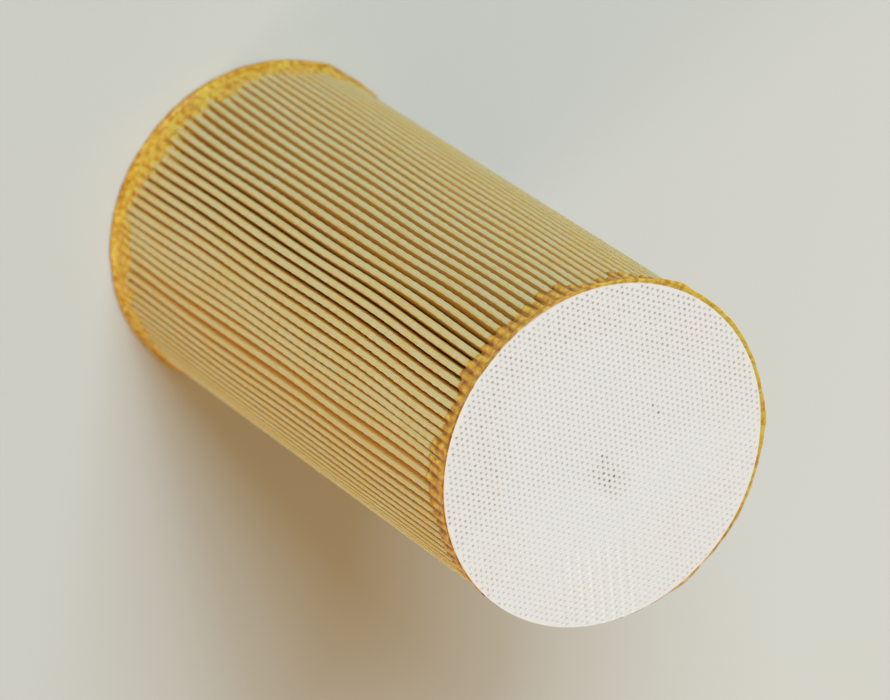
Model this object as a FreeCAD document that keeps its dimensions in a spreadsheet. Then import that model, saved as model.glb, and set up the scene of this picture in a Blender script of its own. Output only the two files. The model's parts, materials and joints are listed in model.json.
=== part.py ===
import FreeCAD, Part
import math
import os
import Sketcher
from FreeCAD import Vector

# Pleated filter element, standing on its open end.
# The origin is the centre of the open end's face, and +Z runs along the axis to the closed end.

os.makedirs("parts", exist_ok=True)
doc = FreeCAD.newDocument("filter_element")

# Driving dimensions in millimetres, the seam's angle in degrees, and the counts of what repeats
SIZES = [
    ("overall_length", 140.0),
    ("crest_diameter", 69.4),
    ("pleat_depth", 13.0),
    ("pleat_pitch", 2.10),
    ("paper_thickness", 0.45),
    ("crest_gap", 0.40),
    ("groove_gap", 0.16),
    ("crest_flats", 5),
    ("bore_flats", 2),
    ("seam_setback", 0.30),
    ("seam_angle", 90.0),
    ("disc_margin", 0.30),
    ("disc_thickness", 0.60),
    ("resin_lip", 0.40),
    ("resin_bed", 1.00),
    ("resin_climb", 5.00),
    ("core_clearance", 0.15),
    ("core_wall", 2.00),
    ("core_collar", 8.00),
    ("hoop_height", 2.50),
    ("hoop_count", 2),
    ("rib_count", 10),
    ("rib_width", 2.60),
]

sizes = doc.addObject("Spreadsheet::Sheet", "sizes")
for row, (alias, value) in enumerate(SIZES, start=1):
    sizes.set("A%d" % row, alias)
    sizes.set("B%d" % row, str(value))
    sizes.setAlias("B%d" % row, alias)
doc.recompute()

# Sizes that follow from the driving ones, as expressions
DISC_RADIUS = "(sizes.crest_diameter / 2 + sizes.disc_margin)"
RESIN_RADIUS = "(sizes.crest_diameter / 2 + sizes.disc_margin + sizes.resin_lip)"
PLEAT_COUNT = "round(pi * sizes.crest_diameter / sizes.pleat_pitch)"
CORE_RADIUS = "(sizes.crest_diameter / 2 - sizes.pleat_depth - sizes.core_clearance)"
OUTLET_RADIUS = (
    "(sizes.crest_diameter / 2 - sizes.pleat_depth - sizes.core_clearance - sizes.core_wall)"
)
MEDIA_FOOT = "(sizes.disc_thickness + sizes.resin_bed)"
MEDIA_LENGTH = "(sizes.overall_length - 2 * (sizes.disc_thickness + sizes.resin_bed))"
CORE_LENGTH = "(sizes.overall_length - 2 * sizes.disc_thickness)"
WINDOW_HEIGHT = (
    "((sizes.overall_length - 2 * sizes.disc_thickness - 2 * sizes.core_collar"
    " - sizes.hoop_count * sizes.hoop_height) / (sizes.hoop_count + 1))"
)
WINDOW_RISE = "sizes.hoop_count * (" + WINDOW_HEIGHT + " + sizes.hoop_height)"


def size(alias):
    """A driving dimension, read from the sheet."""
    return float(sizes.get(alias))


def plane(body, role):
    """The origin plane of a body that has this role."""
    return [item for item in body.Origin.OriginFeatures if item.Role == role][0]


def new_body(name):
    """A body whose label names the sub-part."""
    body = doc.addObject("PartDesign::Body", name)
    body.Label = name
    return body


def new_sketch(body, name):
    """A sketch laid flat on the body's foot."""
    sketch = body.newObject("Sketcher::SketchObject", name)
    sketch.AttachmentSupport = (plane(body, "XY_Plane"), [""])
    sketch.MapMode = "FlatFace"
    return sketch


def close_loop(sketch, points):
    """Straight edges through the points, joined end to end."""
    first = sketch.GeometryCount
    count = len(points)
    for index in range(count):
        sketch.addGeometry(Part.LineSegment(points[index], points[(index + 1) % count]), False)
    for index in range(count):
        sketch.addConstraint(
            Sketcher.Constraint("Coincident", first + index, 2, first + (index + 1) % count, 1)
        )


def add_circle(sketch, name, radius):
    """A circle about the axis, with its radius bound to an expression."""
    index = sketch.addGeometry(Part.Circle(Vector(0, 0, 0), Vector(0, 0, 1), 10.0), False)
    sketch.addConstraint(Sketcher.Constraint("Coincident", index, 3, -1, 1))
    constraint = sketch.addConstraint(Sketcher.Constraint("Radius", index, 10.0))
    sketch.renameConstraint(constraint, name)
    sketch.setExpression("Constraints." + name, radius)


def add_pad(body, name, sketch, length):
    """A pad of the sketch, straight up."""
    pad = body.newObject("PartDesign::Pad", name)
    pad.Profile = sketch
    pad.setExpression("Length", length)
    sketch.Visibility = False
    return pad


def repeat_around(body, name, feature, sketch, occurrences):
    """A full circle of one feature about the axis."""
    pattern = body.newObject("PartDesign::PolarPattern", name)
    pattern.Originals = [feature]
    pattern.Axis = (sketch, ["N_Axis"])
    pattern.Angle = 360
    pattern.setExpression("Occurrences", occurrences)
    body.Tip = pattern


def mirrored(point):
    """The point on the other side of the crest."""
    return Vector(point.x, -point.y, 0)


def turned(point, angle):
    """The point turned about the axis, by an angle in radians."""
    return Vector(
        point.x * math.cos(angle) - point.y * math.sin(angle),
        point.x * math.sin(angle) + point.y * math.cos(angle),
        0,
    )


def place(item, height, turn=FreeCAD.Rotation()):
    """Stands a sub-part at its height, with the seam's side of the ring at the back."""
    to_the_back = FreeCAD.Rotation(Vector(0, 0, 1), size("seam_angle"))
    item.Placement = FreeCAD.Placement(Vector(0, 0, 0), to_the_back * turn)
    item.setExpression(".Placement.Base.z", height)


def direction(angle):
    """A unit vector at an angle in radians from the X axis."""
    return Vector(math.cos(angle), math.sin(angle), 0)


def pressed_fold(centre, radius, start, end, flats):
    """The outside of a fold, pressed into short flats from one flank round to the other."""
    step = (end - start) / flats
    return [centre + direction(start + number * step) * radius for number in range(flats + 1)]


def half_pleat():
    """The corners of the pleat whose crest is on the X axis, up to the next crest.

    The two faces of a flank are tangent to the crest fold and to the bore fold,
    and stay one paper thickness apart.
    """
    count = int(sizes.evalExpression(PLEAT_COUNT))
    step = 2 * math.pi / count
    crest_radius = size("crest_diameter") / 2
    crest_inside = size("crest_gap") / 2
    groove_inside = size("groove_gap") / 2
    crest_fold = crest_inside + size("paper_thickness")
    bore_fold = groove_inside + size("paper_thickness")
    crest_centre = Vector(crest_radius - crest_fold, 0, 0)
    bore_centre = direction(step / 2) * (crest_radius - size("pleat_depth") + bore_fold)
    run = bore_centre - crest_centre
    lean = math.atan2(run.y, run.x) - math.acos((crest_fold + groove_inside) / run.Length)
    across = direction(lean)
    outward = direction(lean - math.pi / 2)
    overhang = crest_fold - size("seam_setback")
    bore_start = lean + math.pi
    bore_end = step - lean + math.pi
    return {
        "count": count,
        "step": step,
        "crest": pressed_fold(crest_centre, crest_fold, -lean, lean, int(size("crest_flats"))),
        "crease": crest_centre + across * crest_inside,
        "groove": bore_centre - across * groove_inside,
        "bore": pressed_fold(bore_centre, bore_fold, bore_start, bore_end, int(size("bore_flats"))),
        "seam_outside": crest_centre + across * crest_fold + outward * overhang,
        "seam_inside": crest_centre + across * crest_inside + outward * overhang,
    }


def sheet_outline(pleat):
    """One closed outline of the folded sheet: round along its outside, back along its inside.

    The sheet starts and ends at the seam, where two flanks stand side by side.
    """
    outside = [pleat["seam_outside"], pleat["groove"]]
    inside = [pleat["seam_inside"]] + pleat["bore"]
    for number in range(1, pleat["count"]):
        angle = number * pleat["step"]
        outside.append(turned(mirrored(pleat["groove"]), angle))
        outside += [turned(point, angle) for point in pleat["crest"]]
        outside.append(turned(pleat["groove"], angle))
        inside.append(turned(mirrored(pleat["crease"]), angle))
        inside.append(turned(pleat["crease"], angle))
        inside += [turned(point, angle) for point in pleat["bore"]]
    outside += [mirrored(pleat["groove"]), mirrored(pleat["seam_outside"])]
    inside.append(mirrored(pleat["seam_inside"]))
    return Part.makePolygon(outside + inside[::-1] + outside[:1])


def make_media(pleat):
    """The paper: one sheet folded into a ring of pleats, as long as the gap between the resin beds."""
    outline = doc.addObject("Part::Feature", "folded_sheet_section")
    outline.Shape = Part.Face(sheet_outline(pleat))
    media = doc.addObject("Part::Extrusion", "pleated_media")
    media.Label = "pleated_media"
    media.Base = outline
    media.DirMode = "Custom"
    media.Dir = Vector(0, 0, 1)
    media.Solid = True
    media.setExpression("LengthFwd", MEDIA_LENGTH)
    place(media, MEDIA_FOOT)
    return media


def make_seam(pleat):
    """The glue between the sheet's two end flanks."""
    body = new_body("side_seam_adhesive")
    sketch = new_sketch(body, "seam_section")
    corners = [pleat["seam_inside"], pleat["bore"][0]]
    close_loop(sketch, corners + [mirrored(corners[1]), mirrored(corners[0])])
    add_pad(body, "seam_strip", sketch, MEDIA_LENGTH)
    place(body, MEDIA_FOOT)
    return body


def make_resin_ring(label, pleat, height, turn):
    """Potting resin: a bed under the end disc, with a tooth that has climbed up every groove."""
    body = new_body(label)
    bed_sketch = new_sketch(body, label + "_bed_section")
    add_circle(bed_sketch, "outer_radius", RESIN_RADIUS)
    add_circle(bed_sketch, "inner_radius", CORE_RADIUS)
    add_pad(body, label + "_bed", bed_sketch, "sizes.resin_bed")
    tooth_sketch = new_sketch(body, label + "_tooth_section")
    near = [pleat["crest"][-1], pleat["groove"]]
    far = [turned(mirrored(point), pleat["step"]) for point in near]
    close_loop(tooth_sketch, [near[0], near[1], far[1], far[0]])
    tooth = add_pad(body, label + "_tooth", tooth_sketch, "sizes.resin_bed + sizes.resin_climb")
    repeat_around(body, label + "_teeth", tooth, tooth_sketch, PLEAT_COUNT)
    place(body, height, FreeCAD.Rotation(Vector(1, 0, 0), turn))
    return body


def make_closed_disc():
    """The nonwoven disc that closes the top."""
    body = new_body("closed_end_disc")
    sketch = new_sketch(body, "closed_disc_section")
    add_circle(sketch, "outer_radius", DISC_RADIUS)
    add_pad(body, "closed_disc", sketch, "sizes.disc_thickness")
    place(body, "sizes.overall_length - sizes.disc_thickness")
    return body


def make_open_disc():
    """The nonwoven disc at the foot, with the outlet hole."""
    body = new_body("open_end_disc")
    sketch = new_sketch(body, "open_disc_section")
    add_circle(sketch, "outer_radius", DISC_RADIUS)
    add_circle(sketch, "outlet_radius", OUTLET_RADIUS)
    add_pad(body, "open_disc", sketch, "sizes.disc_thickness")
    place(body, "0")
    return body


def make_core():
    """The moulded cage inside the pleats: collars at both ends, joined by ribs and hoops.

    It starts as a plain tube, and every window is the same wedge, cut between two ribs.
    """
    body = new_body("support_core")
    tube_sketch = new_sketch(body, "core_section")
    add_circle(tube_sketch, "outer_radius", CORE_RADIUS)
    add_circle(tube_sketch, "outlet_radius", OUTLET_RADIUS)
    add_pad(body, "core_tube", tube_sketch, CORE_LENGTH)

    half_angle = math.pi / size("rib_count")
    past_the_wall = size("crest_diameter")
    apex = Vector(size("rib_width") / 2 / math.sin(half_angle), 0, 0)
    corner = apex + Vector(math.cos(half_angle), math.sin(half_angle), 0) * past_the_wall
    window_sketch = new_sketch(body, "window_section")
    window_sketch.setExpression(".AttachmentOffset.Base.z", "sizes.core_collar")
    close_loop(window_sketch, [apex, corner, mirrored(corner)])
    window = body.newObject("PartDesign::Pocket", "core_window")
    window.Profile = window_sketch
    window.Reversed = True
    window.setExpression("Length", WINDOW_HEIGHT)
    window_sketch.Visibility = False
    doc.recompute()

    windows = body.newObject("PartDesign::MultiTransform", "core_windows")
    windows.Originals = [window]
    tiers = body.newObject("PartDesign::LinearPattern", "window_tiers")
    tiers.Direction = (window_sketch, ["N_Axis"])
    tiers.setExpression("Length", WINDOW_RISE)
    tiers.setExpression("Occurrences", "sizes.hoop_count + 1")
    bays = body.newObject("PartDesign::PolarPattern", "window_bays")
    bays.Axis = (window_sketch, ["N_Axis"])
    bays.Angle = 360
    bays.setExpression("Occurrences", "sizes.rib_count")
    windows.Transformations = [tiers, bays]
    body.Tip = windows
    place(body, "sizes.disc_thickness")
    return body


pleat = half_pleat()
subparts = [
    make_media(pleat),
    make_seam(pleat),
    make_resin_ring("lower_resin_ring", pleat, "sizes.disc_thickness", 0),
    make_resin_ring("upper_resin_ring", pleat, "sizes.overall_length - sizes.disc_thickness", 180),
    make_closed_disc(),
    make_open_disc(),
    make_core(),
]
doc.recompute()

for item in doc.Objects:
    if "Invalid" in item.State or "Error" in item.State:
        raise RuntimeError("%s failed to build" % item.Label)
for item in subparts:
    if item.Shape.isNull() or not item.Shape.isValid():
        raise RuntimeError("%s has no valid shape" % item.Label)

for item in subparts:
    item.Shape.exportStep("parts/%s.step" % item.Label)
    print(item.Label, len(item.Shape.Solids), round(item.Shape.Volume, 1), item.Shape.BoundBox)
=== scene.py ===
import json
import math

import bmesh
import bpy
import numpy as np
from mathutils import Matrix, Vector

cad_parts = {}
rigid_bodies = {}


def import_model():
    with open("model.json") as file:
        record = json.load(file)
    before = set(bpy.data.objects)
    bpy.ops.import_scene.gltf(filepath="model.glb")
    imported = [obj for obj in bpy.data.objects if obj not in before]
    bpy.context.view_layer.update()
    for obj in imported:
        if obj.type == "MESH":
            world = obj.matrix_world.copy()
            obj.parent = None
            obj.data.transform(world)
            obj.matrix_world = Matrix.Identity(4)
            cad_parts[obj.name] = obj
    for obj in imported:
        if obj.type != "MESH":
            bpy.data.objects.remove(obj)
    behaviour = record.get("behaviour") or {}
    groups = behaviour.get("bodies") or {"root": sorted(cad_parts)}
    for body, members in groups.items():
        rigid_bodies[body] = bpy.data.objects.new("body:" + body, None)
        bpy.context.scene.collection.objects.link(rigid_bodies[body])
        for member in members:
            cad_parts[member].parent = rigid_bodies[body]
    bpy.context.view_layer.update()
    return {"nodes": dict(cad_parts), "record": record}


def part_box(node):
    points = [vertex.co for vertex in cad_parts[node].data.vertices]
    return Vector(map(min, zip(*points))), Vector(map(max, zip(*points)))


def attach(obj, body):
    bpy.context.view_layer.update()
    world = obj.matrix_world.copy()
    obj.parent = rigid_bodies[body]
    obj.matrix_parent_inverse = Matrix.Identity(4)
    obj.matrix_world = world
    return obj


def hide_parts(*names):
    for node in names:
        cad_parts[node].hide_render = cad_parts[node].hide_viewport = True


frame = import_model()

bl_info = {
    "name": "Pleated Filter Element",
    "version": (1, 0, 0),
    "blender": (4, 5, 0),
    "location": "3D View > Sidebar > Filter Element",
    "description": "Builds the paper, potting resin, end discs and core of a filter element",
    "category": "Object",
}

MM = 0.001
PAPER_LOW, PAPER_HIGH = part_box("pleated_media")
GLUE_LOW, GLUE_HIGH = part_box("side_seam_adhesive")
CORE_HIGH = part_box("support_core")[1]
CAP_LOW, CAP_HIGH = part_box("closed_end_disc")
BASE_LOW, BASE_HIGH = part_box("open_end_disc")
MOUNTS = {mount["name"]: mount for mount in frame["record"]["mounts"]}

CREST_RADIUS = max(-PAPER_LOW.x, -PAPER_LOW.y)
CORE_RADIUS = CORE_HIGH.y
DISC_RADIUS = CAP_HIGH.y
OUTLET_RADIUS = MOUNTS["outlet_bore"]["dims"]["r_mm"] * MM
SEAM = (GLUE_LOW + GLUE_HIGH) / 2
SEAM_ANGLE = math.atan2(SEAM.y, SEAM.x)

# Vertices of the sheet: across one pleat, and along its outer and its inner side
POINTS_PER_PLEAT = 6
OUTSIDE_ROWS = 131
INSIDE_ROWS = 16

# Vertices of a resin ring across one pleat, and its rows in turn: up the outer face as shares
# of the climb, round the lip as mm below and past the disc's edge, along the disc to the core
# as radius and share of the climb, and back to the outer face as shares of the way
RESIN_COLUMNS_PER_PLEAT = 8
RESIN_OUTER = (1.5, 1.0, 0.985, 0.95, 0.88, 0.76, 0.62, 0.48, 0.35, 0.24, 0.15)
RESIN_LIP = ((0.80, 0.28), (0.50, 0.46), (0.18, 0.56), (-0.04, 0.52), (-0.12, 0.34))
RESIN_UNDER = ((DISC_RADIUS - 0.03 * MM, 0), (CORE_RADIUS, 0), (CORE_RADIUS, 1))
RESIN_BACK = (0.45, 0.9)

# Thick runs of resin at the rim: where and how wide in degrees round the element, then how
# thick and how deep in mm
RESIN_RUNS = (
    (194, 6, 0.62, 3.2),
    (131, 8, 0.55, 3.4),
    (100, 13, 0.28, 1.8),
    (72, 5, 0.62, 1.8),
)

# Single darker dots of the closed disc, as shares of its radius
SINGLE_DARK_DOTS = ((-0.37, 0.13), (-0.385, 0.08), (0.01, 0.0))

# Lamps: name, place in metres, size in metres, share of the power, colour
KEY_LAMPS = (
    ("key_lamp", (-1.5, -1.4, 2.8), 1.2, 1.0, "#cdeaff"),
    ("front_lamp", (-0.98, -2.0, 2.45), 1.2, 1.25, "#cdeaff"),
)
FILL_LAMPS = (("side_lamp", (2.4, -0.9, 0.6), 1.0, 1.0, "#ffe9cc"),)

# Camera of the photograph: its focal length and width in image points, its place in metres
# and its three directions
FOCAL_POINTS = 6500
IMAGE_POINTS = 890
SENSOR_WIDTH = 36
CAMERA_PLACE = (0, -0.7660, 1.1164)
CAMERA_RIGHT = (-0.563423, 0.664912, 0.490354)
CAMERA_UP = (-0.826169, -0.453251, -0.334678)
CAMERA_AHEAD = (0.000278, 0.593680, -0.804701)


class PaperSettings(bpy.types.PropertyGroup):
    """Sizes of the folded paper."""

    pleats: bpy.props.IntProperty(
        name="Pleats", description="Number of folds round the element", default=104, min=12
    )
    crest_width: bpy.props.FloatProperty(
        name="Crest Width", description="Width of a fold over its crest",
        default=1.24 * MM, unit="LENGTH", precision=5,
    )
    thickness: bpy.props.FloatProperty(
        name="Paper Thickness", description="Thickness of the folded sheet",
        default=0.45 * MM, unit="LENGTH", precision=5,
    )
    fold_depth: bpy.props.FloatProperty(
        name="Fold Depth", description="From the crests to the bottom of the grooves",
        default=12.35 * MM, unit="LENGTH", precision=5,
    )
    touch_depth: bpy.props.FloatProperty(
        name="Touch Depth", description="How deep below the crests the folds nearly touch",
        default=2.4 * MM, unit="LENGTH", precision=5,
    )
    corrugation_pitch: bpy.props.FloatProperty(
        name="Corrugation Pitch", description="Length of one wave pressed into the paper",
        default=3.16 * MM, unit="LENGTH", precision=5,
    )
    corrugation_height: bpy.props.FloatProperty(
        name="Corrugation Height", description="How far a wave stands out",
        default=0.055 * MM, unit="LENGTH", precision=5,
    )


class ResinSettings(bpy.types.PropertyGroup):
    """Sizes of the cast resin at the two ends."""

    climb: bpy.props.FloatProperty(
        name="Climb", description="How far the resin stands up between the folds",
        default=5.5 * MM, unit="LENGTH", precision=5,
    )
    climb_spread: bpy.props.FloatProperty(
        name="Climb Spread", description="How much the climb differs from fold to fold",
        default=0.95 * MM, unit="LENGTH", precision=5,
    )
    # Painted light: resin carried deep between the folds lightens the grooves, most at the open
    # end, in place of light shining into them
    groove_glow_reach: bpy.props.FloatProperty(
        name="Wick", description="How far the resin is drawn up deep between the folds",
        default=24 * MM, unit="LENGTH", precision=5,
    )
    coat: bpy.props.FloatProperty(
        name="Coat", description="Thickness of the resin over the crests",
        default=0.16 * MM, unit="LENGTH", precision=5,
    )


class DiscSettings(bpy.types.PropertyGroup):
    """Sizes of the bonded fibre discs."""

    dot_pitch: bpy.props.FloatProperty(
        name="Dot Pitch", description="Distance between the bonding dots",
        default=1.26 * MM, unit="LENGTH", precision=5,
    )
    dot_width: bpy.props.FloatProperty(
        name="Dot Width", description="Width of a bonding dot",
        default=0.50 * MM, unit="LENGTH", precision=5,
    )
    dot_depth: bpy.props.FloatProperty(
        name="Dot Depth", description="How deep a bonding dot is pressed in",
        default=0.11 * MM, unit="LENGTH", precision=5,
    )
    lattice_turn: bpy.props.FloatProperty(
        name="Lattice Turn", description="Direction of a row of dots",
        default=math.radians(-13.5), subtype="ANGLE",
    )


class StudioSettings(bpy.types.PropertyGroup):
    """The floor and the lamps."""

    floor_colour: bpy.props.FloatVectorProperty(
        name="Floor", description="Colour of the floor and of the background",
        subtype="COLOR", size=4, min=0, max=1, default=(0.69, 0.688, 0.640, 1),
    )
    key_power: bpy.props.FloatProperty(
        name="Key Power", description="Power of the main lamps", default=49.5, unit="POWER"
    )
    fill_power: bpy.props.FloatProperty(
        name="Fill Power", description="Power of the filling lamp", default=26, unit="POWER"
    )
    ambient: bpy.props.FloatProperty(
        name="Ambient", description="Strength of the light from all round", default=0.38
    )


# Modelling helpers

def clear_selection():
    """Leaves nothing selected or active."""
    for item in bpy.data.objects:
        item.select_set(False)
    bpy.context.view_layer.objects.active = None


def take_new(name):
    """Names the object just added and fixes its place in its mesh."""
    item = bpy.context.object
    bpy.ops.object.transform_apply(location=True, rotation=True, scale=True)
    item.name = name
    item.data.name = name
    return item


def start_edit(item, mode):
    """Opens one object in edit mode with nothing selected."""
    clear_selection()
    item.select_set(True)
    bpy.context.view_layer.objects.active = item
    bpy.ops.object.mode_set(mode="EDIT")
    bpy.ops.mesh.select_mode(type=mode)
    bpy.ops.mesh.select_all(action="DESELECT")


def pick(item, kind, test):
    """Selects the vertices, edges or faces of the open object that pass a test."""
    form = bmesh.from_edit_mesh(item.data)
    for element in getattr(form, kind):
        if test(element):
            element.select_set(True)
    bmesh.update_edit_mesh(item.data)


def end_edit():
    """Goes back to object mode."""
    bpy.ops.object.mode_set(mode="OBJECT")


def read_points(item):
    """The vertices of an object as rows of x, y, z."""
    points = np.empty(len(item.data.vertices) * 3)
    item.data.vertices.foreach_get("co", points)
    return points.reshape(-1, 3)


def write_points(item, points):
    """Moves the vertices of an object to the given rows of x, y, z."""
    item.data.vertices.foreach_set("co", np.ascontiguousarray(points).ravel())
    item.data.update()


def smooth_faces(item, degrees):
    """Shades an object smooth up to an angle between its faces."""
    clear_selection()
    item.select_set(True)
    bpy.context.view_layer.objects.active = item
    bpy.ops.object.shade_smooth_by_angle(angle=math.radians(degrees))


def close_doubles(item):
    """Joins the two edges of a sheet that has been brought round to itself."""
    start_edit(item, "VERT")
    bpy.ops.mesh.select_all(action="SELECT")
    bpy.ops.mesh.remove_doubles(threshold=0.0001 * MM)
    end_edit()


def ripple(turns, waves, seed):
    """Smooth random numbers of about 1 in size that close on themselves after one turn."""
    chance = np.random.default_rng(seed)
    total = np.zeros(np.shape(turns))
    for wave in waves:
        height = chance.normal()
        total = total + height * np.cos(2 * math.pi * (wave * turns + chance.random()))
    return total * math.sqrt(2 / len(waves))


def smoothstep(values):
    """Eases from 0 to 1."""
    share = np.clip(values, 0, 1)
    return share * share * (3 - 2 * share)


# Where the folds stand

def from_front(turns):
    """Degrees away from the front of the element, which faces -Y, less than 0 toward +X."""
    return (-90 - np.degrees(SEAM_ANGLE + 2 * math.pi * turns) + 180) % 360 - 180


def fold_angle(numbers, heights, pleats):
    """The angle of the crest of each numbered fold at each height, uneven as folded by hand."""
    turns = numbers / pleats
    even = SEAM_ANGLE + 2 * math.pi * turns
    side = from_front(turns)
    # A few folds stand wide apart and the next ones are crowded
    gap_side, gap_shift = -38, 2.6
    reach = np.where(side < gap_side, 6.5, 11.0)
    crowd = gap_shift * np.exp(-((side - gap_side) / reach) ** 2)
    chance = np.random.default_rng(11).normal(size=pleats)
    single = 0.06 * chance[np.mod(numbers, pleats)]
    slow = 0.20 * ripple(turns, (4, 6, 9), 3)
    # The crest lines wander slowly along the element, in waves of three lengths in mm
    height = heights / MM
    long_wave, middle_wave, short_wave = 165, 62, 37
    wander = 0.30 * np.sin(
        2 * math.pi * height / long_wave + 0.9 * ripple(turns, (1, 2, 3), 5))
    wander = wander + 0.13 * np.sin(
        2 * math.pi * height / middle_wave + 1.0 * ripple(turns, (2, 4), 6))
    own = np.random.default_rng(12).random(pleats)[np.mod(numbers, pleats)]
    wander = wander + 0.035 * np.sin(2 * math.pi * (height / short_wave + own))
    degrees = -(crowd + single + slow) + np.degrees(wander * MM / CREST_RADIUS)
    # The glued seam stays where it is
    away = np.minimum(np.mod(numbers, pleats), pleats - np.mod(numbers, pleats))
    return even + np.radians(degrees) * (1 - np.exp(-(away / 1.6) ** 2))


# Materials

def linear(code):
    """A colour written as sRGB hex, in linear light."""
    parts = [int(code[place:place + 2], 16) / 255 for place in (1, 3, 5)]
    light = [p / 12.92 if p <= 0.04045 else ((p + 0.055) / 1.055) ** 2.4 for p in parts]
    return (*light, 1.0)


def add_node(material, kind, inputs=None, **settings):
    """Adds one node; each input is given a value or linked to another node's output."""
    node = material.node_tree.nodes.new(kind)
    for name, value in settings.items():
        setattr(node, name, value)
    for name, value in (inputs or {}).items():
        if isinstance(value, bpy.types.NodeSocket):
            material.node_tree.links.new(value, node.inputs[name])
        else:
            node.inputs[name].default_value = value
    return node


def new_material(name):
    """An empty node material."""
    material = bpy.data.materials.new(name)
    material.use_nodes = True
    material.node_tree.nodes.clear()
    return material


def finish_material(material, surface):
    """Sends a shader to the material's output."""
    add_node(material, "ShaderNodeOutputMaterial", {"Surface": surface.outputs[0]})
    return material


def set_stops(ramp, stops):
    """Gives a colour ramp its stops, each a place and a colour."""
    elements = ramp.color_ramp.elements
    while len(elements) < len(stops):
        elements.new(0.5)
    for element, (place, colour) in zip(elements, stops):
        element.position = place
        element.color = colour


def filter_paper():
    """Cellulose filter paper, wet-laid and impregnated: matt cream, with painted amber glow deep
    in the grooves and inside.
    """
    material = new_material("cellulose_filter_paper_impregnated")
    place = add_node(material, "ShaderNodeTexCoord").outputs["Object"]
    parts = add_node(material, "ShaderNodeSeparateXYZ", {"Vector": place})
    flat = add_node(material, "ShaderNodeCombineXYZ", {
        "X": parts.outputs["X"], "Y": parts.outputs["Y"], "Z": 0.0})
    radius = add_node(
        material, "ShaderNodeVectorMath", {0: flat.outputs[0]}, operation="LENGTH")
    # Painted light: cream on the crests, painted a glowing amber the deeper the paper lies in a
    # groove, for light coming through the paper
    glow_depth = 1.9 * MM
    groove_shading = add_node(material, "ShaderNodeMapRange", {
        "Value": radius.outputs["Value"],
        "From Min": CREST_RADIUS, "From Max": CREST_RADIUS - glow_depth})
    # Cloudy formation of the fibres, 6 mm across
    cloud = add_node(material, "ShaderNodeTexNoise", {
        "Vector": place, "Scale": 1 / (6 * MM), "Detail": 4.0, "Roughness": 0.6})
    glow_cloudy = add_node(material, "ShaderNodeMath", {
        0: cloud.outputs["Fac"], 1: 0.22, 2: groove_shading.outputs[0]}, operation="MULTIPLY_ADD")
    tone = add_node(material, "ShaderNodeValToRGB", {"Fac": glow_cloudy.outputs[0]})
    set_stops(tone, [
        (0.12, linear("#c4b787")),
        (0.20, linear("#c6ad70")),
        (0.34, linear("#d6ae60")),
        (0.90, linear("#f0ba58")),
    ])
    # Fibres too fine to show, drawn 0.25 mm wide
    fibre = add_node(material, "ShaderNodeTexNoise", {
        "Vector": place, "Scale": 1 / (0.25 * MM), "Detail": 3.0})
    grain = add_node(material, "ShaderNodeBump", {
        "Height": fibre.outputs["Fac"], "Strength": 0.25, "Distance": 0.05 * MM})
    surface = add_node(material, "ShaderNodeBsdfPrincipled", {
        "Base Color": tone.outputs["Color"], "Roughness": 0.82, "Normal": grain.outputs[0],
        "Specular IOR Level": 0.3,
        "Subsurface Weight": 0.75, "Subsurface Radius": (1.0, 0.68, 0.23),
        "Subsurface Scale": 1.9 * MM})
    return finish_material(material, surface)


def potting_resin():
    """Amber polyurethane potting resin, cast and cured: glossy, uneven, deeper where thick;
    painted shade in grooves.
    """
    material = new_material("polyurethane_potting_resin_cast")
    place = add_node(material, "ShaderNodeTexCoord").outputs["Object"]
    # Painted shade: the groove attribute darkens the resin between the folds, partly the deeper
    # colour of thick resin and partly painted shade
    groove = add_node(material, "ShaderNodeAttribute", attribute_name="groove")
    cloud = add_node(material, "ShaderNodeTexNoise", {
        "Vector": place, "Scale": 1 / (1.4 * MM), "Detail": 5.0, "Roughness": 0.6})
    mixed = add_node(material, "ShaderNodeMath", {
        0: cloud.outputs["Fac"], 1: 1.3, 2: groove.outputs["Fac"]}, operation="MULTIPLY_ADD")
    tone = add_node(material, "ShaderNodeValToRGB", {"Fac": mixed.outputs[0]})
    set_stops(tone, [
        (0.24, linear("#dcbc48")),
        (0.40, linear("#ce9c2e")),
        (0.58, linear("#b67a18")),
        (0.84, linear("#844e06")),
    ])
    # Small lumps and flow marks, 0.8 mm apart
    flow = add_node(material, "ShaderNodeTexNoise", {
        "Vector": place, "Scale": 1 / (0.8 * MM), "Detail": 2.0})
    skin = add_node(material, "ShaderNodeBump", {
        "Height": flow.outputs["Fac"], "Strength": 0.7, "Distance": 0.2 * MM})
    surface = add_node(material, "ShaderNodeBsdfPrincipled", {
        "Base Color": tone.outputs["Color"], "Roughness": 0.32, "Specular IOR Level": 0.32,
        "Normal": skin.outputs[0],
        "Subsurface Weight": 0.25, "Subsurface Radius": (1.0, 0.55, 0.15),
        "Subsurface Scale": 0.8 * MM})
    return finish_material(material, surface)


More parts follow.
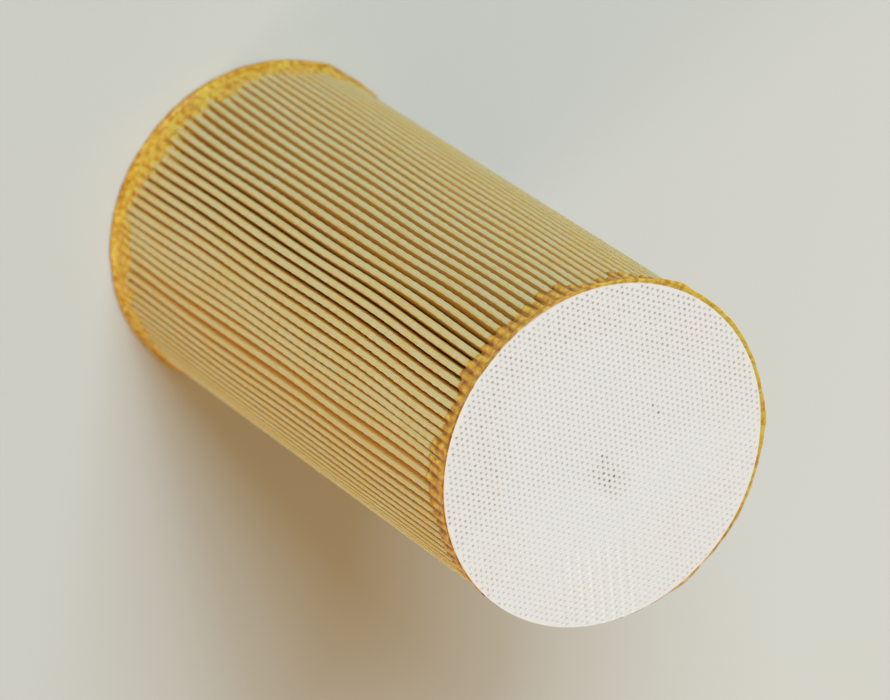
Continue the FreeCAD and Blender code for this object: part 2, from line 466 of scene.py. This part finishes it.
def nonwoven_fabric():
    """Point-bonded polyester nonwoven: soft white fibres with flat fused dots."""
    material = new_material("polyester_nonwoven_point_bonded")
    place = add_node(material, "ShaderNodeTexCoord").outputs["Object"]
    dot = add_node(material, "ShaderNodeAttribute", attribute_name="dot")
    shade = add_node(material, "ShaderNodeAttribute", attribute_name="shade")
    stain = add_node(material, "ShaderNodeAttribute", attribute_name="stain")
    cloud = add_node(material, "ShaderNodeTexNoise", {
        "Vector": place, "Scale": 1 / (9 * MM), "Detail": 4.0, "Roughness": 0.65})
    tint = add_node(material, "ShaderNodeMath", {
        0: stain.outputs["Fac"], 1: cloud.outputs["Fac"]}, operation="MULTIPLY")
    cloth = add_node(material, "ShaderNodeMix", {
        "Factor": tint.outputs[0], 6: linear("#eeebe7"), 7: linear("#f4ebe3")},
        data_type="RGBA")
    # How dark a dot is: at random, darker toward the rim where resin soaked in, and painted shade
    # near the middle where the hollow shows through
    fused = add_node(material, "ShaderNodeValToRGB", {"Fac": shade.outputs["Fac"]})
    set_stops(fused, [
        (0.0, linear("#e1ddd9")),
        (0.35, linear("#cfc8c4")),
        (0.62, linear("#b8b0a6")),
        (1.0, linear("#6f6e66")),
    ])
    colour = add_node(material, "ShaderNodeMix", {
        "Factor": dot.outputs["Fac"], 6: cloth.outputs[2], 7: fused.outputs["Color"]},
        data_type="RGBA")
    # Fibres are 0.02 mm thick; they are drawn 0.16 mm wide, so that they show
    fibre = add_node(material, "ShaderNodeTexNoise", {
        "Vector": place, "Scale": 1 / (0.16 * MM), "Detail": 3.0, "Distortion": 1.2})
    fluff = add_node(material, "ShaderNodeBump", {
        "Height": fibre.outputs["Fac"], "Strength": 0.35, "Distance": 0.08 * MM})
    surface = add_node(material, "ShaderNodeBsdfPrincipled", {
        "Base Color": colour.outputs[2], "Roughness": 0.88, "Normal": fluff.outputs[0],
        "Sheen Weight": 0.08, "Sheen Roughness": 0.5, "Specular IOR Level": 0.25})
    return finish_material(material, surface)


def core_plastic():
    """Black polyamide, injection moulded: satin, with a fine spark-eroded grain."""
    material = new_material("black_polyamide_moulded")
    place = add_node(material, "ShaderNodeTexCoord").outputs["Object"]
    grain = add_node(material, "ShaderNodeTexNoise", {
        "Vector": place, "Scale": 1 / (0.3 * MM), "Detail": 3.0})
    gloss = add_node(material, "ShaderNodeMapRange", {
        "Value": grain.outputs["Fac"], "To Min": 0.38, "To Max": 0.56})
    skin = add_node(material, "ShaderNodeBump", {
        "Height": grain.outputs["Fac"], "Strength": 0.3, "Distance": 0.03 * MM})
    surface = add_node(material, "ShaderNodeBsdfPrincipled", {
        "Base Color": linear("#1b1b1d"), "Roughness": gloss.outputs[0],
        "Normal": skin.outputs[0], "IOR": 1.53})
    return finish_material(material, surface)


def seam_glue():
    """Hot-melt adhesive bead along the side seam: glossy honey colour, slightly wavy."""
    material = new_material("hot_melt_adhesive_applied")
    place = add_node(material, "ShaderNodeTexCoord").outputs["Object"]
    wave = add_node(material, "ShaderNodeTexNoise", {
        "Vector": place, "Scale": 1 / (2.5 * MM), "Detail": 3.0})
    tone = add_node(material, "ShaderNodeValToRGB", {"Fac": wave.outputs["Fac"]})
    set_stops(tone, [(0.3, linear("#d9b667")), (0.7, linear("#bd9140"))])
    skin = add_node(material, "ShaderNodeBump", {
        "Height": wave.outputs["Fac"], "Strength": 0.5, "Distance": 0.2 * MM})
    surface = add_node(material, "ShaderNodeBsdfPrincipled", {
        "Base Color": tone.outputs["Color"], "Roughness": 0.3, "Normal": skin.outputs[0],
        "IOR": 1.48})
    return finish_material(material, surface)


def floor_board(colour):
    """Pale matt laminate board of the studio floor."""
    material = new_material("pale_laminate_board")
    place = add_node(material, "ShaderNodeTexCoord").outputs["Object"]
    cloud = add_node(material, "ShaderNodeTexNoise", {
        "Vector": place, "Scale": 3.0, "Detail": 2.0})
    gloss = add_node(material, "ShaderNodeMapRange", {
        "Value": cloud.outputs["Fac"], "To Min": 0.55, "To Max": 0.7})
    # Painted light: the board is painted a little darker toward -Y and lighter toward +Y, for
    # light falling off across the floor and background
    parts = add_node(material, "ShaderNodeSeparateXYZ", {"Vector": place})
    painted_light_falloff = add_node(material, "ShaderNodeMapRange", {
        "Value": parts.outputs["Y"], "From Min": -0.06, "From Max": 0.20})
    tone = add_node(material, "ShaderNodeMix", {
        "Factor": painted_light_falloff.outputs[0], 6: [0.93 * part for part in colour[:3]] + [1],
        7: [1.12 * part for part in colour[:3]] + [1]}, data_type="RGBA")
    surface = add_node(material, "ShaderNodeBsdfPrincipled", {
        "Base Color": tone.outputs[2], "Roughness": gloss.outputs[0],
        "Specular IOR Level": 0.2})
    return finish_material(material, surface)


# Pieces

class FILTER_OT_pleated_paper(bpy.types.Operator):
    """Fold the paper sheet round the element"""

    bl_idname = "filter_element.pleated_paper"
    bl_label = "Pleated Paper"

    def execute(self, context):
        settings = context.scene.filter_paper
        pleats = settings.pleats
        columns = pleats * POINTS_PER_PLEAT
        rows = OUTSIDE_ROWS + INSIDE_ROWS
        middle = (PAPER_LOW.z + PAPER_HIGH.z) / 2
        clear_selection()
        bpy.ops.mesh.primitive_grid_add(
            size=2 * CREST_RADIUS, location=(0, 0, middle),
            x_subdivisions=columns, y_subdivisions=rows)
        sheet = take_new("pleated_paper")

        index = np.arange(len(sheet.data.vertices))
        column = index % (columns + 1)
        row = index // (columns + 1) % rows
        fold = column // POINTS_PER_PLEAT
        role = column % POINTS_PER_PLEAT
        outside = row < OUTSIDE_ROWS
        up = np.where(
            outside, row / (OUTSIDE_ROWS - 1), 1 - (row - OUTSIDE_ROWS) / (INSIDE_ROWS - 1))
        height = PAPER_LOW.z + (PAPER_HIGH.z - PAPER_LOW.z) * up

        # Each fold is crest, shoulder, wall, groove, wall, shoulder
        near = np.where(role >= 4, fold + 1, fold)
        side = np.where(role >= 4, -1.0, 1.0)
        step = np.abs(np.where(role >= 4, POINTS_PER_PLEAT - role, role))
        half = settings.crest_width / 2
        own = np.random.default_rng(21).normal(size=pleats)[np.mod(near, pleats)]
        half_here = half * (1 + 0.02 * own)
        half_here = half_here * (1 + 0.02 * np.sin(height / (23 * MM) + 6 * own))
        # The folds stand tighter on the side toward +X
        tight = smoothstep((-44 - from_front(near / pleats)) / 26)
        half_here = half_here * (1 + 0.13 * tight)
        groove_radius = CREST_RADIUS - settings.fold_depth
        skin = settings.thickness
        shoulder_drop, belly = 0.15 * MM, 0.22 * MM
        inner_shoulder_drop, inner_belly, inner_crest_drop = 0.25 * MM, 0.02 * MM, 0.6 * MM
        outer_radius = np.choose(step, [
            CREST_RADIUS, CREST_RADIUS - shoulder_drop, CREST_RADIUS - settings.touch_depth,
            groove_radius])
        outer_offset = np.choose(step, [
            0 * half_here, 0.95 * half_here, half_here + belly, 0 * half_here])
        inner_radius = np.choose(step, [
            CREST_RADIUS - skin, CREST_RADIUS - skin - inner_shoulder_drop, groove_radius,
            groove_radius - inner_crest_drop])
        inner_offset = np.choose(step, [
            0 * half_here, half_here - skin, half_here - skin + inner_belly, 0 * half_here])
        radius = np.where(outside, outer_radius, inner_radius)
        offset = side * np.where(outside, outer_offset, inner_offset)

        # Waves pressed into the paper swell and pinch each fold, but not near its ends
        flat_end = 7 * MM
        phase = 0.8 * own + 2.5 * ripple(near / pleats, (3, 5, 8), 31)
        wave = np.sin(2 * math.pi * height / settings.corrugation_pitch + phase)
        swell = settings.corrugation_height * wave * np.where(outside, 1.0, 0.0)
        from_end = np.minimum(height - PAPER_LOW.z, PAPER_HIGH.z - height)
        fade = smoothstep(from_end / flat_end)
        offset = offset + side * swell * fade * np.choose(step, [0, 0.8, 1.0, 0])
        radius = radius + swell * fade * np.choose(step, [0.45, 0.4, 0.2, 0])

        # The two ends of the sheet meet over the glue
        seam_sink = 0.9 * MM
        seam_top = (np.mod(near, pleats) == 0) & (step == 0) & outside
        radius = np.where(seam_top, radius - seam_sink, radius)

        angle = fold_angle(near, height, pleats)
        between = (fold_angle(fold, height, pleats) + fold_angle(fold + 1, height, pleats)) / 2
        # The bellied walls of two neighbouring folds come close, but never meet
        wall_gap = 0.05 * MM
        room = np.maximum(np.abs(between - angle) * radius - wall_gap, 0)
        offset = np.where(outside & (step < 3), np.clip(offset, -room, room), offset)
        angle = np.where(step == 3, between, angle + offset / radius)
        points = np.stack([radius * np.cos(angle), radius * np.sin(angle), height], axis=1)
        write_points(sheet, points)
        close_doubles(sheet)
        smooth_faces(sheet, 60)
        sheet.data.materials.append(filter_paper())
        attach(sheet, "root")
        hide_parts("pleated_media")
        return {"FINISHED"}


def resin_ring(name, disc_face, into, hidden, settings, pleats, seed):
    """Casts one ring of resin on a disc's inner face, climbing into the folds.

    hidden says how much of the lip the disc covers on one side, from 0 to 1.
    """
    columns = pleats * RESIN_COLUMNS_PER_PLEAT
    first_lip = len(RESIN_OUTER)
    first_under = first_lip + len(RESIN_LIP)
    first_back = first_under + len(RESIN_UNDER)
    rows = first_back + len(RESIN_BACK)
    clear_selection()
    bpy.ops.mesh.primitive_grid_add(
        size=2 * DISC_RADIUS, location=(0, 0, disc_face),
        x_subdivisions=columns, y_subdivisions=rows)
    ring = take_new(name)

    index = np.arange(len(ring.data.vertices))
    column = index % (columns + 1)
    row = index // (columns + 1)
    if into > 0:
        row = rows - row
    row = row % rows
    fold = column // RESIN_COLUMNS_PER_PLEAT
    share = (column % RESIN_COLUMNS_PER_PLEAT) / RESIN_COLUMNS_PER_PLEAT
    turns = column / columns
    chance = np.random.default_rng(seed)
    own = chance.normal(size=pleats)
    nearest = np.where(share < 0.5, fold, fold + 1) % pleats
    climb = settings.climb + settings.climb_spread * (
        1.15 * own[nearest] + 0.8 * ripple(turns, (4, 7, 11), seed + 1))
    climb = np.clip(climb, 3.6 * MM, 7.4 * MM)
    # 0 over a fold and 1 over a groove
    groove = smoothstep((np.minimum(share, 1 - share) * 2.06 - 0.38) / 0.46)
    climb = climb + 0.25 * MM * groove + 0.10 * MM * chance.normal(size=columns)[column % columns]
    # The lower ring is smoother than the upper one
    calm = 0.45 + 0.55 * hidden
    lumps = calm * (0.10 * ripple(turns, (23, 31, 47, 64), seed + 2) + 0.05 * chance.normal(
        size=columns)[column % columns])
    edge = calm * (
        0.06 * ripple(turns, (2, 3, 5), seed + 3) + 0.07 * ripple(turns, (9, 14, 22), seed + 4))
    # The disc sits a little off centre, so the lip shows on one side and hides on the other
    facing = 2 * math.pi * turns + SEAM_ANGLE - math.radians(155)
    lip_reach = 1 - hidden * (0.5 - 0.5 * np.cos(facing))

    level = np.zeros(len(index))
    radius = np.zeros(len(index))
    crest = CREST_RADIUS + settings.coat
    for place, part in enumerate(RESIN_OUTER):
        here = row == place
        level[here] = climb[here] * part
        dip = 0.10 + 0.55 * part ** 1.4
        foot = 0.26 * np.exp(-level[here] / (1.4 * MM))
        body = crest + MM * (foot + lumps[here] * (1 - part ** 6))
        if place == 0:
            # Painted light: a sheet of resin deep between the folds, farther at the open end,
            # lightens the grooves in place of light shining in
            level[here] = climb[here] + settings.groove_glow_reach * (1 - 0.94 * hidden) * (
                0.7 + 0.2 * own[nearest[here]].clip(-1, 1))
            radius[here] = CREST_RADIUS - (4.2 - 2.4 * hidden) * MM
        elif place == 1:
            # The upper edge dives into the paper, deeper in the grooves
            dive = np.where(groove[here] > 0.4, 1.1 * MM, 0.3 * MM)
            radius[here] = CREST_RADIUS - dive
        else:
            radius[here] = body - groove[here] * dip * MM - 0.10 * MM * (part > 0.96)
    for place, (down, out) in enumerate(RESIN_LIP, first_lip):
        here = row == place
        level[here] = MM * (down - 0.40 * lip_reach[here] * (down < 0))
        reach = (out + 0.34 + 0.32 * hidden) * lip_reach[here] - 0.26
        uneven = edge[here] + 0.35 * lumps[here]
        radius[here] = DISC_RADIUS + MM * (
            reach + uneven - 0.10 * groove[here] * (down > 0.4))
    for place, (where, deep) in enumerate(RESIN_UNDER, first_under):
        here = row == place
        level[here] = climb[here] * 0.96 * deep
        radius[here] = where
    for place, part in enumerate(RESIN_BACK, first_back):
        here = row == place
        level[here] = climb[here] * 0.97
        radius[here] = CORE_RADIUS + (CREST_RADIUS - 1.3 * MM - CORE_RADIUS) * part

    for degrees, wide, thick, deep in RESIN_RUNS:
        gap = (np.degrees(2 * math.pi * turns + SEAM_ANGLE) - degrees + 180) % 360 - 180
        bulge = thick * np.exp(-(gap / wide) ** 2) * np.exp(-((level / MM - 0.8) / deep) ** 2)
        radius = np.where(radius > CREST_RADIUS, radius + MM * bulge, radius)

    height = disc_face + into * level
    first = fold_angle(fold, height, pleats)
    second = fold_angle(fold + 1, height, pleats)
    angle = first + (second - first) * share
    points = np.stack([radius * np.cos(angle), radius * np.sin(angle), height], axis=1)
    write_points(ring, points)
    # How dark the resin looks: more where it is thick in a groove, partly the deeper colour of
    # thick resin and partly painted shade between the folds; less on the lip
    groove_shading = ring.data.attributes.new("groove", "FLOAT", "POINT")
    tint = groove * np.clip(level / (3.5 * MM), 0.25, 1) * (0.12 + 0.22 * hidden)
    rim = np.exp(-(level / (1.1 * MM)) ** 4)
    tint = tint + rim * (0.17 - 0.32 * hidden * lip_reach) - 0.12 * (1 - hidden) - 0.25
    groove_shading.data.foreach_set("value", tint.astype(np.float32))
    close_doubles(ring)
    smooth_faces(ring, 80)
    return ring


class FILTER_OT_resin_rings(bpy.types.Operator):
    """Cast the potting resin at both ends"""

    bl_idname = "filter_element.resin_rings"
    bl_label = "Resin Rings"

    def execute(self, context):
        settings = context.scene.filter_resin
        pleats = context.scene.filter_paper.pleats
        finish = potting_resin()
        for name, face, into, hidden, node, seed in (
            ("upper_resin", CAP_LOW.z, -1, 1.0, "upper_resin_ring", 41),
            ("lower_resin", BASE_HIGH.z, 1, 0.12, "lower_resin_ring", 61),
        ):
            ring = resin_ring(name, face, into, hidden, settings, pleats, seed)
            ring.data.materials.append(finish)
            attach(ring, "root")
            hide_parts(node)
        return {"FINISHED"}


def bonded_tile(settings):
    """One six-sided tile of fabric with its pressed dot in the middle."""
    sides = 12
    top = settings.dot_width / 2
    clear_selection()
    bpy.ops.mesh.primitive_circle_add(vertices=sides, radius=top * 1.25, fill_type="NGON")
    tile = take_new("bonded_tile")
    start_edit(tile, "FACE")
    bpy.ops.mesh.select_all(action="SELECT")
    bpy.ops.mesh.inset(thickness=top * 0.35)
    bpy.ops.transform.translate(value=(0, 0, -settings.dot_depth))
    bpy.ops.mesh.select_all(action="DESELECT")
    bpy.ops.mesh.select_mode(type="EDGE")
    pick(tile, "edges", lambda edge: edge.is_boundary)
    bpy.ops.mesh.extrude_edges_move()
    bpy.ops.transform.resize(value=(1.6, 1.6, 1))
    end_edit()
    # The outermost ring is drawn out to the six-sided outline of the tile
    points = read_points(tile)
    reach = np.hypot(points[:, 0], points[:, 1])
    around = np.arctan2(points[:, 1], points[:, 0])
    outline = settings.dot_pitch / 2 / np.cos((around + math.pi / 6) % (math.pi / 3) - math.pi / 6)
    outer = reach > top * 1.6
    points[outer, 0] = outline[outer] * np.cos(around[outer])
    points[outer, 1] = outline[outer] * np.sin(around[outer])
    write_points(tile, points)
    fused = tile.data.attributes.new("dot", "FLOAT", "POINT")
    marks = np.where(reach < top * 0.95, 1.0, np.where(outer, 0.0, 0.15))
    fused.data.foreach_set("value", marks.astype(np.float32))
    return tile


def bonded_sheet(tile, settings):
    """Repeats the tile over a field wide enough for a disc."""
    count = 68
    pitch = settings.dot_pitch
    for turn in (0, math.pi / 3):
        array = tile.modifiers.new("rows", "ARRAY")
        array.count = count
        array.use_relative_offset = False
        array.use_constant_offset = True
        array.constant_offset_displace = (pitch * math.cos(turn), pitch * math.sin(turn), 0)
        clear_selection()
        tile.select_set(True)
        bpy.context.view_layer.objects.active = tile
        bpy.ops.object.modifier_apply(modifier="rows")
    points = read_points(tile)
    reach = (count - 1) * pitch / 2
    points[:, 0] -= reach * (1 + math.cos(math.pi / 3))
    points[:, 1] -= reach * math.sin(math.pi / 3)
    turn = settings.lattice_turn
    turned = np.stack([
        points[:, 0] * math.cos(turn) - points[:, 1] * math.sin(turn),
        points[:, 0] * math.sin(turn) + points[:, 1] * math.cos(turn),
        points[:, 2]], axis=1)
    write_points(tile, turned)
    return tile


def dot_shades(across, along, upper):
    """How dark each dot is, and how much resin has soaked into the cloth round it."""
    x, y = across / DISC_RADIUS, along / DISC_RADIUS
    reach = np.hypot(x, y)
    chance = np.random.default_rng(71 if upper else 72)
    speckle = chance.random(4096)
    cell = (np.floor(x * 61).astype(int) * 73 + np.floor(y * 61).astype(int) * 151) % 4096
    own = speckle[cell] - 0.5
    around = np.degrees(np.arctan2(y, x))
    uneven = 0.06 * np.sin(3 * np.radians(around) + 1) + 0.05 * np.sin(7 * np.radians(around))
    rim = smoothstep((reach - 0.56 - uneven) / 0.26)
    front = 0.55 + 0.45 * smoothstep((-y + 0.30) / 0.6)
    patchy = 0.5 + 0.5 * np.sin(9.1 * x + 5 * y) * np.sin(8.3 * y - 4 * x + 1)
    shade = 0.34 + 0.14 * own + rim * front * (0.08 + 0.16 * patchy + 0.34 * own)
    if upper:
        # Dots are lighter toward +x and +y, and lighter still in a corner round 42 degrees
        pale = smoothstep((0.6 * x + 0.8 * y + 0.05) / 0.3)
        shade = shade - 0.25 * pale
        lighter_corner = smoothstep((x + y - 0.45) / 0.35) * smoothstep((0.80 - np.abs(around - 42) / 40))
        shade = shade - 0.28 * lighter_corner
        # Painted shade: a patch of dark dots near the middle, where the dark hollow inside shows
        # through the thin fused dots
        dark = np.exp(-((x - 0.085) / 0.085) ** 4 - ((y - 0.115) / 0.14) ** 4)
        dark = dark * (0.65 + 0.7 * own)
        shade = shade + 0.75 * dark
        for spot_x, spot_y in SINGLE_DARK_DOTS:
            shade = shade + 0.45 * (np.hypot(x - spot_x, y - spot_y) < 0.022)
    stain = rim * (0.6 + 0.8 * patchy)
    return np.clip(shade, 0, 1), np.clip(stain, 0, 1.4)


def fibre_disc(name, level, thickness, outward, hole, settings):
    """Cuts one fabric disc from the bonded sheet and gives it its thickness."""
    disc = bonded_sheet(bonded_tile(settings), settings)
    disc.name = name
    disc.data.name = name
    rim = DISC_RADIUS
    start_edit(disc, "VERT")
    spare = settings.dot_pitch * 1.2
    pick(disc, "verts", lambda v: not (
        hole - spare < math.hypot(v.co.x, v.co.y) < rim + spare))
    bpy.ops.mesh.delete(type="VERT")
    bpy.ops.mesh.select_all(action="SELECT")
    bpy.ops.mesh.remove_doubles(threshold=0.01 * MM)
    end_edit()

    # Dots that the cutting line would cross are left flat
    points = read_points(disc)
    turn = settings.lattice_turn
    step = settings.dot_pitch * math.cos(math.pi / 6)
    lane = (points[:, 1] * math.cos(turn) - points[:, 0] * math.sin(turn)) / step
    slot = (points[:, 0] * math.cos(turn) + points[:, 1] * math.sin(turn)) / settings.dot_pitch
    lane_middle = np.floor(lane) + 0.5
    slot_middle = np.floor(slot - lane / 2) + 0.5 + lane_middle / 2
    dot_reach = np.hypot(lane_middle * step, slot_middle * settings.dot_pitch)
    flat = (dot_reach > rim - settings.dot_width * 0.85) | (
        (hole > 0) & (dot_reach < hole + settings.dot_width * 0.85))
    points[flat, 2] = 0
    fused = np.zeros(len(points), np.float32)
    disc.data.attributes["dot"].data.foreach_get("value", fused)
    disc.data.attributes["dot"].data.foreach_set("value", np.where(flat, 0, fused))

    # What lies past the cutting line is drawn back to it
    reach = np.hypot(points[:, 0], points[:, 1])
    cut = np.clip(reach, max(hole, 1e-9), rim)
    if hole == 0:
        cut = np.minimum(reach, rim)
    pull = cut / np.maximum(reach, 1e-9)
    middle_x, middle_y = points[:, 0].copy(), points[:, 1].copy()
    points[:, 0] *= pull
    points[:, 1] *= pull
    on_line = np.abs(reach - cut) > 1e-9
    points[on_line, 2] = 0
    write_points(disc, points)
    shade, stain = dot_shades(middle_x, middle_y, outward > 0)
    for title, values in (("shade", shade), ("stain", stain)):
        layer = disc.data.attributes.new(title, "FLOAT", "POINT")
        layer.data.foreach_set("value", values.astype(np.float32))

    start_edit(disc, "FACE")
    limit = 0.002 * MM

    def past(face):
        return all(
            math.hypot(v.co.x, v.co.y) > rim - limit
            or math.hypot(v.co.x, v.co.y) < hole + limit for v in face.verts)

    pick(disc, "faces", past)
    bpy.ops.mesh.delete(type="FACE")
    bpy.ops.mesh.select_mode(type="VERT")
    bpy.ops.mesh.select_all(action="SELECT")
    bpy.ops.mesh.remove_doubles(threshold=0.02 * MM)
    bpy.ops.mesh.select_all(action="DESELECT")
    bpy.ops.mesh.select_mode(type="EDGE")
    pick(disc, "edges", lambda edge: edge.is_boundary)
    bpy.ops.mesh.extrude_edges_move(TRANSFORM_OT_translate={"value": (0, 0, -thickness)})
    if hole == 0:
        bpy.ops.mesh.edge_face_add()
    else:
        bpy.ops.mesh.bridge_edge_loops()
    bpy.ops.mesh.select_all(action="SELECT")
    bpy.ops.mesh.normals_make_consistent(inside=False)
    end_edit()

    points = read_points(disc)
    if outward < 0:
        points[:, 1] *= -1
    # Shallow creases where the cloth was pulled while the resin set
    x, y = points[:, 0] / DISC_RADIUS, points[:, 1] / DISC_RADIUS
    strip = smoothstep((x + y - 0.55) / 0.3) * smoothstep((0.55 - np.abs(y - x + 0.12)) / 0.3)
    crease = 0.05 * np.sin((y - x) * 34) * strip
    swell = 0.06 * np.sin(5 * x + 1) * np.cos(4 * y)
    top = points[:, 2] > -thickness / 2
    sink = MM * (0.06 + np.abs(crease) + 0.5 * np.abs(swell))
    points[:, 2] = np.where(top, points[:, 2] - sink, points[:, 2])
    points[:, 2] = level + outward * points[:, 2]
    write_points(disc, points)
    start_edit(disc, "FACE")
    bpy.ops.mesh.select_all(action="SELECT")
    bpy.ops.mesh.normals_make_consistent(inside=False)
    end_edit()
    smooth_faces(disc, 50)
    return disc


class FILTER_OT_fibre_discs(bpy.types.Operator):
    """Cut and bond the fabric discs of both ends"""

    bl_idname = "filter_element.fibre_discs"
    bl_label = "Fibre Discs"

    def execute(self, context):
        settings = context.scene.filter_disc
        finish = nonwoven_fabric()
        for name, level, thickness, outward, hole, node in (
            ("closed_disc", CAP_HIGH.z, CAP_HIGH.z - CAP_LOW.z, 1, 0, "closed_end_disc"),
            ("open_disc", BASE_LOW.z, BASE_HIGH.z - BASE_LOW.z, -1, OUTLET_RADIUS,
             "open_end_disc"),
        ):
            disc = fibre_disc(name, level, thickness, outward, hole, settings)
            disc.data.materials.append(finish)
            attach(disc, "root")
            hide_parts(node)
        return {"FINISHED"}


class FILTER_OT_core_and_seam(bpy.types.Operator):
    """Give the moulded core and the glued seam their finishes"""

    bl_idname = "filter_element.core_and_seam"
    bl_label = "Core and Seam"

    def execute(self, context):
        for node, finish in (
            ("support_core", core_plastic()), ("side_seam_adhesive", seam_glue())
        ):
            slots = frame["nodes"][node].data.materials
            slots.clear()
            slots.append(finish)
        return {"FINISHED"}


class FILTER_OT_studio(bpy.types.Operator):
    """Set up the floor, the lamps and the camera"""

    bl_idname = "filter_element.studio"
    bl_label = "Studio"

    def execute(self, context):
        settings = context.scene.filter_studio
        scene = context.scene
        scene.view_settings.view_transform = "Standard"
        clear_selection()
        bpy.ops.mesh.primitive_plane_add(size=12, location=(0, 0, 0))
        floor = take_new("floor")
        floor.data.materials.append(floor_board(settings.floor_colour))

        centre = Vector((0, 0, CAP_HIGH.z / 2))
        for lamps, power in ((KEY_LAMPS, settings.key_power), (FILL_LAMPS, settings.fill_power)):
            for name, place, size, share, colour in lamps:
                lamp_data = bpy.data.lights.new(name, "AREA")
                lamp_data.shape = "DISK"
                lamp_data.size = size
                lamp_data.energy = power * share
                lamp_data.color = linear(colour)[:3]
                lamp = bpy.data.objects.new(name, lamp_data)
                scene.collection.objects.link(lamp)
                lamp.location = place
                toward = centre - Vector(place)
                lamp.rotation_euler = toward.to_track_quat("-Z", "Y").to_euler()

        world = bpy.data.worlds.new("studio_walls")
        scene.world = world
        world.use_nodes = True
        world.node_tree.nodes.clear()
        rays = add_node(world, "ShaderNodeLightPath")
        lit = add_node(world, "ShaderNodeBackground", {
            "Color": linear("#ffd18e"), "Strength": settings.ambient})
        seen = add_node(world, "ShaderNodeBackground", {
            "Color": tuple(settings.floor_colour), "Strength": 1.0})
        seen_by = add_node(world, "ShaderNodeMath", {
            0: rays.outputs["Is Camera Ray"], 1: rays.outputs["Is Glossy Ray"]},
            operation="ADD")
        plain = add_node(world, "ShaderNodeMath", {
            0: seen_by.outputs[0], 1: rays.outputs["Is Transmission Ray"]}, operation="ADD")
        plain.use_clamp = True
        mixed = add_node(world, "ShaderNodeMixShader", {
            "Fac": plain.outputs[0], 1: lit.outputs[0], 2: seen.outputs[0]})
        add_node(world, "ShaderNodeOutputWorld", {"Surface": mixed.outputs[0]})

        camera_data = bpy.data.cameras.new("camera")
        camera_data.sensor_width = SENSOR_WIDTH
        camera_data.sensor_fit = "HORIZONTAL"
        camera_data.lens = FOCAL_POINTS / IMAGE_POINTS * SENSOR_WIDTH
        camera_data.clip_start = 0.05
        camera_data.clip_end = 50
        # The near disc is sharp and the far end a little soft
        bpy.ops.object.empty_add(type="PLAIN_AXES", radius=5 * MM, location=(0, 0, CAP_HIGH.z))
        focus = context.object
        focus.name = "focus"
        camera_data.dof.use_dof = True
        camera_data.dof.focus_object = focus
        camera_data.dof.aperture_fstop = 26
        camera = bpy.data.objects.new("camera", camera_data)
        scene.collection.objects.link(camera)
        back = -Vector(CAMERA_AHEAD)
        turn = Matrix((CAMERA_RIGHT, CAMERA_UP, back)).transposed().to_4x4()
        camera.matrix_world = Matrix.Translation(CAMERA_PLACE) @ turn
        scene.camera = camera
        return {"FINISHED"}


class FILTER_PT_panel(bpy.types.Panel):
    """Lists the steps and the settings"""

    bl_idname = "FILTER_PT_panel"
    bl_label = "Filter Element"
    bl_space_type = "VIEW_3D"
    bl_region_type = "UI"
    bl_category = "Filter Element"

    def draw(self, context):
        for settings, steps in (
            (context.scene.filter_paper, (FILTER_OT_pleated_paper,)),
            (context.scene.filter_resin, (FILTER_OT_resin_rings,)),
            (context.scene.filter_disc, (FILTER_OT_fibre_discs, FILTER_OT_core_and_seam)),
            (context.scene.filter_studio, (FILTER_OT_studio,)),
        ):
            box = self.layout.box()
            for title in settings.__annotations__:
                box.prop(settings, title)
            for step in steps:
                box.operator(step.bl_idname)


SETTINGS = (
    ("filter_paper", PaperSettings),
    ("filter_resin", ResinSettings),
    ("filter_disc", DiscSettings),
    ("filter_studio", StudioSettings),
)
CLASSES = (
    FILTER_OT_pleated_paper,
    FILTER_OT_resin_rings,
    FILTER_OT_fibre_discs,
    FILTER_OT_core_and_seam,
    FILTER_OT_studio,
    FILTER_PT_panel,
)


def register():
    """Adds the settings, the steps and the panel to Blender."""
    for title, group in SETTINGS:
        bpy.utils.register_class(group)
        setattr(bpy.types.Scene, title, bpy.props.PointerProperty(type=group))
    for item in CLASSES:
        bpy.utils.register_class(item)


def unregister():
    """Takes them out again."""
    for item in reversed(CLASSES):
        bpy.utils.unregister_class(item)
    for title, group in reversed(SETTINGS):
        delattr(bpy.types.Scene, title)
        bpy.utils.unregister_class(group)


def main():
    """Runs the steps in order."""
    register()
    bpy.ops.filter_element.pleated_paper()
    bpy.ops.filter_element.resin_rings()
    bpy.ops.filter_element.fibre_discs()
    bpy.ops.filter_element.core_and_seam()
    bpy.ops.filter_element.studio()


if __name__ == "__main__":
    main()
